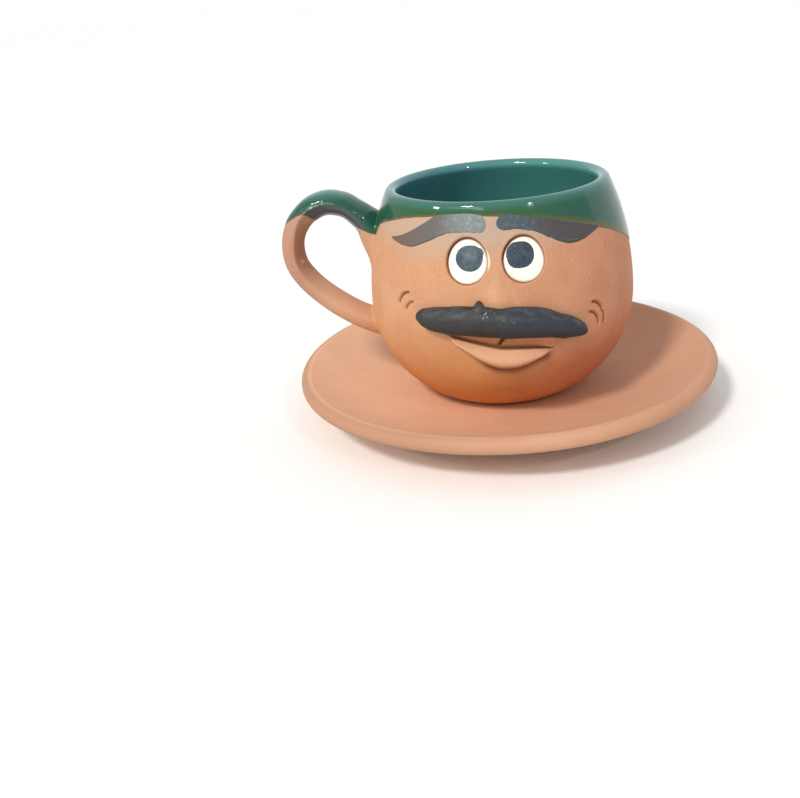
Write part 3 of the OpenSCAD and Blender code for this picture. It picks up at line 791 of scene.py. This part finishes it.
def eye(side, place, seed, pupil_middle, pupil_outline, pupil_look):
    """An eye's domed white with its sunk rim, and the pupil laid on it."""
    def white_reach(phi):
        return WHITE_R*(1 + 0.015*np.cos(3*phi + seed))/np.hypot(np.cos(phi), np.sin(phi)/EYE_TALL)

    def white_lift(share, rho):
        return dome(rho) - 1.1*np.clip((share - 0.86)/0.14, 0, 1)**2.2

    rings = disc(place, (0.1, -0.08), white_reach, white_lift, -0.95)
    to_rim = np.clip(np.arange(len(rings))/18, 0, 1)[:, None]
    piece(f"{side}_eye_white_disc", rings, LOOKS["white_slip"], [f"{side}_eye_white"], {"to_rim": to_rim})

    def pupil_reach(phi):
        return along(pupil_outline, np.degrees(phi) % 360)[..., 1]

    def pupil_lift(share, rho):
        return dome(rho) + 0.2 - 0.26*share**7

    rings = disc(place, pupil_middle, pupil_reach, pupil_lift, -0.3)
    origin, right, up, _ = frame_on_wall(place)
    spot = origin + (pupil_middle[0] + PAINTED_GLARE_AT[0])*right + (pupil_middle[1] + PAINTED_GLARE_AT[1])*up
    # Where the painted glare lies on the pupil
    painted_glare = [np.exp(-(((ring - spot) @ right)/2.1)**2 - (((ring - spot) @ up)/1.8)**2) for ring in rings]
    piece(f"{side}_pupil_slip", rings, pupil_look, [f"{side}_pupil"], {"painted_glare": painted_glare})


# Brushed strokes: degrees round from the front, height of the stroke's middle, and its width
BROW_LEFT = [
    (-55.3, 49.3, 0.3), (-52, 49.2, 1.2), (-48, 49.3, 2.3), (-44, 49.7, 3.4), (-40, 50.3, 4.4),
    (-35, 51.6, 5.0), (-30, 53.0, 5.5), (-25, 54.2, 5.4), (-20, 54.7, 5.1), (-14, 54.7, 5.1),
    (-9.5, 54.4, 4.6), (-7.2, 54.1, 3.8), (-6, 53.95, 2.6), (-5.5, 53.9, 1.0),
]
BROW_RIGHT = [
    (-0.5, 54.0, 0.8), (0.1, 54.05, 2.1), (1.5, 54.15, 3.3), (4, 54.35, 3.9), (8, 54.3, 3.8),
    (12, 53.9, 3.9), (16, 53.4, 4.1), (21, 52.2, 4.8), (26, 51.0, 5.6), (31, 50.0, 5.6),
    (36, 49.5, 4.6), (41, 49.3, 3.0), (45, 49.3, 1.6), (48.7, 49.3, 0.4),
]
BROW_LIFT = 0.14


def brow(side, rows, look):
    """A thin stroke of slip with ragged edges."""
    a = stretches((rows[0][0], rows[-1][0], 0.3))
    across = np.linspace(-1, 1, 31)
    inward = np.linspace(0, 1, len(a)) if side == "left" else np.linspace(1, 0, len(a))
    rings = []
    for angle, middle, wide in along(rows, a):
        slow = noise.noise(Vector((angle*0.5, 3.0, 14.0)))
        quick = noise.noise(Vector((angle*2.1, 9.0, 1.0)))
        h = middle + (1 + 0.07*slow + 0.05*quick)*wide/2*across
        lift = 0.03 + BROW_LIFT*(1 - across**8) - 0.06*np.abs(across)**8
        rings.append(laid((angle, h, lift), (angle, middle + wide/2*BEHIND, -0.3)))
    piece(f"{side}_eyebrow_stroke", rings, look, [f"{side}_eyebrow"],
          {"along": inward[:, None], "across": [*across, *BEHIND]})


# The handle and the glaze
# The strap's middle line from the upper root over to the lower root: shares of the reach, the rise,
# the width and the thickness, and the degrees its section is turned to flare down the wall
STRAP = [
    (-0.176, 0.63, 1.1, 2.9, 47), (-0.04, 0.768, 1.1, 2, 47), (0.09, 0.889, 1.07, 1.28, 42),
    (0.25, 0.971, 1.03, 1.04, 22), (0.47, 1, 1, 1, 0), (0.67, 0.97, 1, 1, 0), (0.85, 0.885, 1, 1, 0),
    (0.97, 0.765, 1, 1, 0), (1, 0.64, 1, 1, 0),
    (0.955, 0.515, 1, 1, 0), (0.825, 0.4, 1, 1.02, 0), (0.65, 0.296, 1, 1.04, 0), (0.445, 0.199, 1, 1.06, 0),
    (0.235, 0.118, 1.02, 1.08, 0), (0.02, 0.06, 1.08, 1.12, 0), (-0.27, 0, 1.15, 1.2, 0),
]
STRAP_SIDES = 80
STRAP_STEPS = 150
# The angles round the strap's section: its edges are at 0 and half a turn, its inner face between them
AROUND_STRAP = np.radians(np.arange(STRAP_SIDES)*360/STRAP_SIDES)
# How far the strap's two edges lie from its middle towards the outside of the loop, as a share of half
# its thickness, over the top of the handle and down its side
STRAP_EDGE_TOP = 0.25
STRAP_EDGE_SIDE = -0.32
# Reach of the fillets at the two roots, outside and inside the loop
UPPER_FILLETS = (0.7, 2.3)
LOWER_FILLETS = (1.2, 1.6)


def strap_section(t, f):
    """How far in from the middle line the section's skin is, as a share of half the thickness."""
    s = np.sin(f)
    edge = STRAP_EDGE_TOP + (STRAP_EDGE_SIDE - STRAP_EDGE_TOP)*smooth((t - 5)/2.5)
    inner = (1 + edge)*np.abs(s)**1.5 - edge
    outer = -(1 - edge)*np.abs(s) - edge
    return np.where(s > 0, inner, outer)


def strap_point(t, f):
    """The strap's skin, at places along its table and angles round it."""
    t, f = np.broadcast_arrays(np.asarray(t, float), f)
    row = at(STRAP, t)
    ahead = at(STRAP, t + 0.2) - at(STRAP, t - 0.2)
    heading = np.arctan2(ahead[..., 1]*HANDLE_RISE, -ahead[..., 0]*HANDLE_REACH) + np.radians(row[..., 4])
    out = HANDLE_T/2*row[..., 3]*strap_section(t, f)
    x = -BELLY_R - row[..., 0]*HANDLE_REACH - np.sin(heading)*out
    z = WELL_Z + HANDLE_ROOT_H + row[..., 1]*HANDLE_RISE + np.cos(heading)*out
    return np.stack([x, HANDLE_W/2*row[..., 2]*np.cos(f), z], -1)


def off_wall(points):
    """How far points lie outside the cup's wall."""
    h = points[..., 2] - WELL_Z
    return (np.hypot(points[..., 0], points[..., 1]) - wall_r(h))*np.cos(wall_tilt(h))


def to_wall(points, lift):
    """The points moved to the wall at their own angles and heights, and lifted off it."""
    a = np.degrees(np.arctan2(points[..., 0], -points[..., 1]))
    return on_wall(a, points[..., 2] - WELL_Z, lift)


def halved(test, inside, outside):
    """Where a test turns from false to true, between places where it is false and where it is true."""
    inside, outside = inside.copy(), outside.copy()
    for _ in range(24):
        middle = (inside + outside)/2
        held = test(middle)
        inside, outside = np.where(held, inside, middle), np.where(held, middle, outside)
    return outside


def strap_surface():
    """The strap's skin as a grid along it and round it, both ends running out in a fillet on the wall."""
    f = AROUND_STRAP
    last = len(STRAP) - 1.0
    ends = [halved(lambda t: off_wall(strap_point(t, f)) > 0, np.full(f.shape, root), np.full(f.shape, clear))
            for root, clear in ((0.0, 4.0), (last, last - 4.0))]
    grids = []
    for end, sign, (outer, inner) in zip(ends, (1, -1), (UPPER_FILLETS, LOWER_FILLETS)):
        reach = outer + (inner - outer)*smooth(0.5 + 0.5*np.sin(f))
        cross = strap_point(end, f)
        step = np.linalg.norm(strap_point(end + 0.1*sign, f) - cross, axis=-1)/0.1
        leave = end + sign*reach/step
        spread = cross - cross.mean(0)
        spread /= np.linalg.norm(spread, axis=-1)[:, None]
        foot = to_wall(cross + reach[:, None]*spread, -0.05)
        top = strap_point(leave, f)
        u = np.linspace(0, 1, 9)[:, None, None]
        grids.append(((1 - u)**2*foot + 2*u*(1 - u)*cross + u**2*top, leave))
    (first, start), (final, stop) = grids
    u = np.linspace(0, 1, STRAP_STEPS)[1:-1, None]
    return np.concatenate([first, strap_point(start + (stop - start)*u, f), final[::-1]])


def grid_normals(grid):
    """Outward normals of a grid that is closed round."""
    around = np.roll(grid, -1, axis=1) - np.roll(grid, 1, axis=1)
    ahead = np.gradient(grid, axis=0)
    n = np.cross(around, ahead)
    n /= np.linalg.norm(n, axis=-1)[..., None] + 1e-9
    middle = grid.mean(axis=1, keepdims=True)
    return n*np.sign(((grid - middle)*n).sum())


# The drip beside the handle's upper root: where it hangs and how far it falls
DRIP_X = -34.0
DRIP_Y = -7.2
DRIP_FALL = 2.4


def above_edge(points):
    """How far points lie above the glaze's wavy edge, with the drip beside the handle's root."""
    x, y, z = points[..., 0], points[..., 1], points[..., 2]
    plane = (z - DIP_Z)*math.cos(DIP_TILT) + x*math.tan(DIP_LEAN) + y*math.sin(DIP_TILT)
    wave = 0.16*unevenness(points, 7, 5) + 0.08*unevenness(points, 2.2, 8)
    on_handle = (2.4*smooth((x + 60.4)/6.5) - 0.5)*smooth((-49 - x)/4)
    higher = 0.4*smooth((x - 14)/12) + on_handle
    drip = DRIP_FALL*np.exp(-((y - DRIP_Y)/np.where(y < DRIP_Y, 1.7, 4.5))**2 - ((x - DRIP_X)/5.0)**2)
    return plane - DIP_SHORT + wave + drip - higher


# How far from its edge the glaze grows thick, and how far its edge lies in the clay
COAT_GROWS = 0.55
COAT_EDGE_SUNK = 0.02


def coat(depth):
    """The glaze's thickness at a distance from its edge."""
    return GLAZE_T*(1 - np.exp(-np.clip(depth, 0, 50)/COAT_GROWS)) - COAT_EDGE_SUNK


# How far the handle's two ends lie in the wall
HANDLE_SUNK = 1.2
# A crumb of clay left on the strap's front edge: its middle and its rise
CRUMB = np.array([-55.5, -3.3, 45.2])
CRUMB_RISE = 0.7


def handle():
    """The strap's clay, its inner face shaded and its two ends let into the wall; returns its grid."""
    grid = strap_surface()
    crumb = np.exp(-((grid - CRUMB)**2).sum(axis=-1)/0.3)
    uneven = 0.1*unevenness(grid, 6, 2) + CRUMB_RISE*crumb
    clay = grid + grid_normals(grid)*uneven[..., None]*smooth(off_wall(grid)/2)[..., None]
    rings = np.array([to_wall(clay[0], -HANDLE_SUNK), *clay, to_wall(clay[-1], -HANDLE_SUNK)])
    pale = np.array([crumb[0], *crumb, crumb[-1]])
    # Painted shade on the strap's inner face, high on the handle; the crumb is kept out of it and painted
    # paler as a painted highlight
    shade = 0.36*smooth(np.sin(AROUND_STRAP)/0.3)
    shade = shade*smooth((rings[..., 2] - 36)/12)*smooth((-46 - rings[..., 0])/6)
    piece("handle_clay", rings, LOOKS["cup_clay"], ["handle"],
          {"pressed": shade*(1 - pale), "smear": 0.6*pale})
    return clay


def glaze_end(depth, place, step):
    """Where a line of heights above the glaze's edge leaves the glaze, from a place on by 1 or -1."""
    last = len(depth) - 1 if step > 0 else 0
    while place != last and depth[place + step] > 0:
        place += step
    return place if place == last else place + step*depth[place]/(depth[place] - depth[place + step])


def handle_glaze(clay):
    """The coat over the top of the strap's grid, a closed sheet that thins out at its edge."""
    normals = grid_normals(clay)
    depth = above_edge(clay)
    top = int(np.argmax(depth.min(axis=1)))
    places = np.arange(len(clay))
    share = 0.5 - 0.5*np.cos(math.pi*np.linspace(0, 1, 90))
    outer, inner, deep = [], [], []
    for k in range(STRAP_SIDES):
        start, stop = (glaze_end(depth[:, k], top, step) for step in (-1, 1))
        s = start + (stop - start)*share
        p, n = (np.stack([np.interp(s, places, v[:, k, j]) for j in range(3)], -1) for v in (clay, normals))
        d = np.interp(s, places, depth[:, k])
        outer.append(p + n*coat(d)[:, None])
        inner.append(p - n*HANDLE_COAT_SUNK)
        deep.append(d)
    outer, inner, deep = (np.stack(lines, axis=1) for lines in (outer, inner, deep))
    around = np.sin(AROUND_STRAP)
    # On the strap's inner face: painted shade; along its edges: bumps and a painted highlight
    fields = {"from_edge": np.concatenate([deep, deep[::-1]]), "under": smooth(around/0.5),
              "edge": np.exp(-(around/0.4)**2)}
    rings = np.concatenate([outer, inner[::-1]])
    piece("handle_glaze_coat", rings, LOOKS["green_glaze"], ["handle_glaze"], fields, joined=True)


# A height on the wall under all glaze, and a distance from the edge where the glaze is thick
BARE_H = 12.0
THICK_AT = 9.0


def bowl_glaze():
    """The glaze on the bowl, from its wavy edge up over the lip and down inside."""
    a = stretches((-180, -125, 2.0), (-125, -60, 0.5), (-60, 64, 0.6), (64, 180, 2.0))[:-1]
    bare, glazed = np.full(a.shape, BARE_H), np.full(a.shape, WALL_TOP_H)
    low = halved(lambda h: above_edge(on_wall(a, h, 0.0)) > 0, bare, glazed)
    run = np.linspace(0, 1, 44)[:, None]**1.6
    h = low + (WALL_TOP_H - low)*run
    depth = above_edge(on_wall(a, h, 0.0))
    outer, inner = on_wall(a, h, coat(depth)), on_wall(a, h, -BOWL_COAT_SUNK)
    over = [turned(a, r, z) for r, z in inside_profile(GLAZE_T)]
    under = [turned(a, r, z) for r, z in inside_profile(-BOWL_COAT_SUNK)]
    rings = np.array([*under[::-1], *inner[::-1], *outer, *over])
    thick = np.full((len(over), len(a)), THICK_AT)
    # Where the inside's painted reflection lies
    within = np.maximum.accumulate([float(smooth((LIP_AT - r)/1.5)) for r, _ in inside_profile(GLAZE_T)])
    inside = np.concatenate([np.zeros(len(rings) - len(within)), within])[:, None]
    piece("bowl_glaze_coat", rings, LOOKS["green_glaze"], ["bowl_glaze"],
          {"from_edge": np.concatenate([thick, depth[::-1], depth, thick]), "inside": inside})


# The saucer
def saucer_profile():
    """Radii and heights from the middle of the well out over the lip, and back under it to the foot."""
    lip_at = SAUCER_R - SAUCER_LIP_R
    lip_z = WELL_Z + DISH_RISE + SAUCER_LIP_PROUD - SAUCER_LIP_R
    lip = [(lip_at + SAUCER_LIP_R*math.cos(f), lip_z + SAUCER_LIP_R*math.sin(f))
           for f in np.linspace(math.radians(112), math.radians(-95), 20)]
    run = lip_at - SAUCER_LIP_R - SAUCER_WELL_R
    arc_r = (run*run + DISH_RISE*DISH_RISE)/(2*DISH_RISE)
    centre_z = WELL_Z + arc_r
    for r in np.linspace(1, SAUCER_WELL_R, 8):
        yield r, WELL_Z
    leave = lip_at - SAUCER_LIP_R - 3.0
    leave_z = centre_z - math.sqrt(arc_r**2 - (leave - SAUCER_WELL_R)**2)
    slope = (leave - SAUCER_WELL_R)/(centre_z - leave_z)
    for r in np.linspace(SAUCER_WELL_R, leave, 26)[1:]:
        yield r, centre_z - math.sqrt(arc_r**2 - (r - SAUCER_WELL_R)**2)
    bend = lip_at - SAUCER_LIP_R - 0.3, leave_z + slope*2.7
    for u in np.linspace(0, 1, 10)[1:-1]:
        yield [(1 - u)**2*p + 2*u*(1 - u)*q + u*u*s for p, q, s in zip((leave, leave_z), bend, lip[0])]
    yield from lip
    under_r = arc_r + SAUCER_WALL
    for r in np.linspace(lip_at - 1.2, SAUCER_FOOT_R + 0.8, 24):
        yield r, centre_z - math.sqrt(under_r**2 - (r - SAUCER_WELL_R)**2)
    for inward, z in ((0, 1.1), (0, 0.5), (0.15, 0.12), (0.6, 0.0)):
        yield SAUCER_FOOT_R - inward, z
    for r in np.linspace(SAUCER_FOOT_R - 4, 2, 5):
        yield r, 0.0


def saucer():
    """The saucer, a little warped and out of round."""
    a = np.linspace(-180, 180, 361)[:-1]
    warp = 0.3*np.cos(2*np.radians(a - 40)) + 0.12*np.cos(3*np.radians(a + 20))
    wobble = -0.12 + 0.1*np.cos(np.radians(2*a + 60)) + 0.03*np.sin(np.radians(5*a))
    rings, lip = [], []
    for r, z in saucer_profile():
        out = smooth((r - SAUCER_WELL_R - 4)/20)
        rings.append(turned(a, r + out*wobble, z - WELL_Z + out*warp))
        # Where the lip's painted shade lies
        lip.append([float(smooth((r - SAUCER_R + 3.0)/1.8)*smooth((z - SAUCER_FOOT_H)/2))])
    piece("saucer_clay", rings, LOOKS["saucer_clay"], ["saucer"], {"lip": lip}, body="saucer")


# Camera, light and floor
# The camera, as fitted to the saucer's rim and the cup's outline: focal length, where the rim's middle
# shows, its distance from there, the camera's elevation and its roll
IMAGE = (800, 798)
FOCAL_PX = 937.95
AIM_PX = (503.98, 357.03)
AIM_Z = 11.5
CAMERA_DISTANCE = 279.89
CAMERA_ELEVATION = math.radians(21.41)
CAMERA_ROLL = math.radians(-2.87)
SENSOR = 36.0


def camera():
    """The camera, aimed so that the rim's middle shows where it does in the photo."""
    back = Vector((0, -math.cos(CAMERA_ELEVATION), math.sin(CAMERA_ELEVATION)))
    right = Vector((1, 0, 0))
    facing = Matrix.Rotation(-CAMERA_ROLL, 3, "Z") @ Matrix((right, back.cross(right), back))
    aim = Vector(((AIM_PX[0] - IMAGE[0]/2)/FOCAL_PX, (IMAGE[1]/2 - AIM_PX[1])/FOCAL_PX, -1)).normalized()
    turn = Vector((0, 0, -1)).rotation_difference(aim).to_matrix()
    data = bpy.data.cameras.new("camera")
    data.sensor_width = SENSOR
    data.lens = FOCAL_PX/IMAGE[0]*SENSOR
    data.clip_start, data.clip_end = 0.01, 100
    made = placed("camera", data)
    place = (Vector((0, 0, AIM_Z)) + back*CAMERA_DISTANCE)*MM
    made.matrix_world = Matrix.Translation(place) @ (turn @ facing).transposed().to_4x4()
    bpy.context.scene.camera = made


# How far the lamps stand from the place that they face, in metres, and its height
LAMP_DISTANCE = 2.0
LAMP_AIM_Z = 0.04


def light(name, kind, azimuth, elevation, power, color):
    """A light from degrees round from the front, to the right, and degrees above the horizon."""
    data = bpy.data.lights.new(name, kind)
    data.energy, data.color = power, color
    made = placed(name, data)
    a, e = math.radians(azimuth), math.radians(elevation)
    way = Vector((math.sin(a)*math.cos(e), -math.cos(a)*math.cos(e), math.sin(e)))
    made.location = way*LAMP_DISTANCE + Vector((0, 0, LAMP_AIM_Z))
    made.rotation_mode = "QUATERNION"
    made.rotation_quaternion = way.to_track_quat("Z", "Y")
    return data


def lamp(name, azimuth, elevation, size, power, color):
    """A flat light, so wide and so tall, that faces the cup."""
    data = light(name, "AREA", azimuth, elevation, power, color)
    data.shape = "RECTANGLE"
    data.size, data.size_y = size


# The bright part of the room, behind the cup and to its right: its middle, where it starts and how soft
# its edge is, both as cosines, and its light; the rest is grey
BRIGHT_WAY = (0.366, 0.93, 0.0)
BRIGHT_FROM = 0.45
BRIGHT_EDGE = 0.06
BRIGHT_LIGHT = (1.0, 1.02, 1.05, 1)
GREY_LIGHT = (0.62, 0.635, 0.65, 1)


def lights():
    """The main light, the panel and the two windows that the glaze mirrors."""
    light("key", "SUN", -36, 46, 2.0, (1.0, 0.97, 0.93)).angle = math.radians(10)
    lamp("panel", -34, 33, (1.2, 0.12), 1.6, (0.93, 1.0, 0.93))
    lamp("window_left", -66, 28, (0.22, 0.08), 3, (0.96, 0.98, 1.0))
    lamp("window_right", 36, 35, (0.08, 0.05), 3, (0.96, 0.98, 1.0))


def room():
    """The world's soft light, grey in front and bright behind the cup."""
    world = bpy.data.worlds.new("studio")
    world.use_nodes = True
    tree = world.node_tree
    ways = {0: add_node(tree, "ShaderNodeTexCoord").outputs["Generated"], 1: BRIGHT_WAY}
    cosine = add_node(tree, "ShaderNodeVectorMath", ways, operation="DOT_PRODUCT").outputs["Value"]
    ends = {0: cosine, 1: BRIGHT_FROM, 2: BRIGHT_FROM + BRIGHT_EDGE}
    bright = add_node(tree, "ShaderNodeMapRange", ends, interpolation_type="SMOOTHSTEP").outputs[0]
    colors = {0: bright, 6: GREY_LIGHT, 7: BRIGHT_LIGHT}
    mixed = add_node(tree, "ShaderNodeMix", colors, data_type="RGBA").outputs[2]
    tree.links.new(mixed, tree.nodes["Background"].inputs[0])
    bpy.context.scene.world = world


# Half the floor's width in metres
FLOOR_REACH = 60.0


def floor():
    """A wide, plain pale floor."""
    s = Surface("floor", Specular_IOR_Level=0.1)
    s.color = s.mix(s.noise(40, 2), "f2f1ef", "eeedeb")
    material, _ = s.done(s.span(s.noise(3), 0, 1, 0.75, 0.85))
    corners = [(x*FLOOR_REACH, y*FLOOR_REACH, 0) for x, y in ((-1, -1), (1, -1), (1, 1), (-1, 1))]
    data = bpy.data.meshes.new("floor")
    data.from_pydata(corners, [], [(0, 1, 2, 3)])
    data.materials.append(material)
    placed("floor", data)


LOOKS = {
    "cup_clay": cup_clay(),
    "saucer_clay": saucer_clay(),
    "green_glaze": glaze(),
    "white_slip": white_slip(),
    "dark_clay": dark_clay(),
}

camera()
lights()
room()
floor()
bpy.context.scene.view_settings.view_transform = "Standard"

saucer()
bowl()
nose()
lower_lip()
upper_lip()
moustache()
eye("left", EYE_LEFT, 1, (0.66, 0.76), PUPIL_LEFT,
    pupil_slip("pupil_slip_left", "3f4b51", "58666e", 0.16))
eye("right", EYE_RIGHT, 2, (-0.9, 1.3), PUPIL_RIGHT,
    pupil_slip("pupil_slip_right", "2e3843", "414d5a", 0.03))
# The left stroke's pale inner colour is painted sheen too
brow("left", BROW_LEFT,
     brow_slip("brow_slip_left", "6b574d", "645f5a", "788180", 0.28))
brow("right", BROW_RIGHT,
     brow_slip("brow_slip_right", "4a4648", "4b4749", "44525a", 0.15))
handle_glaze(handle())
bowl_glaze()
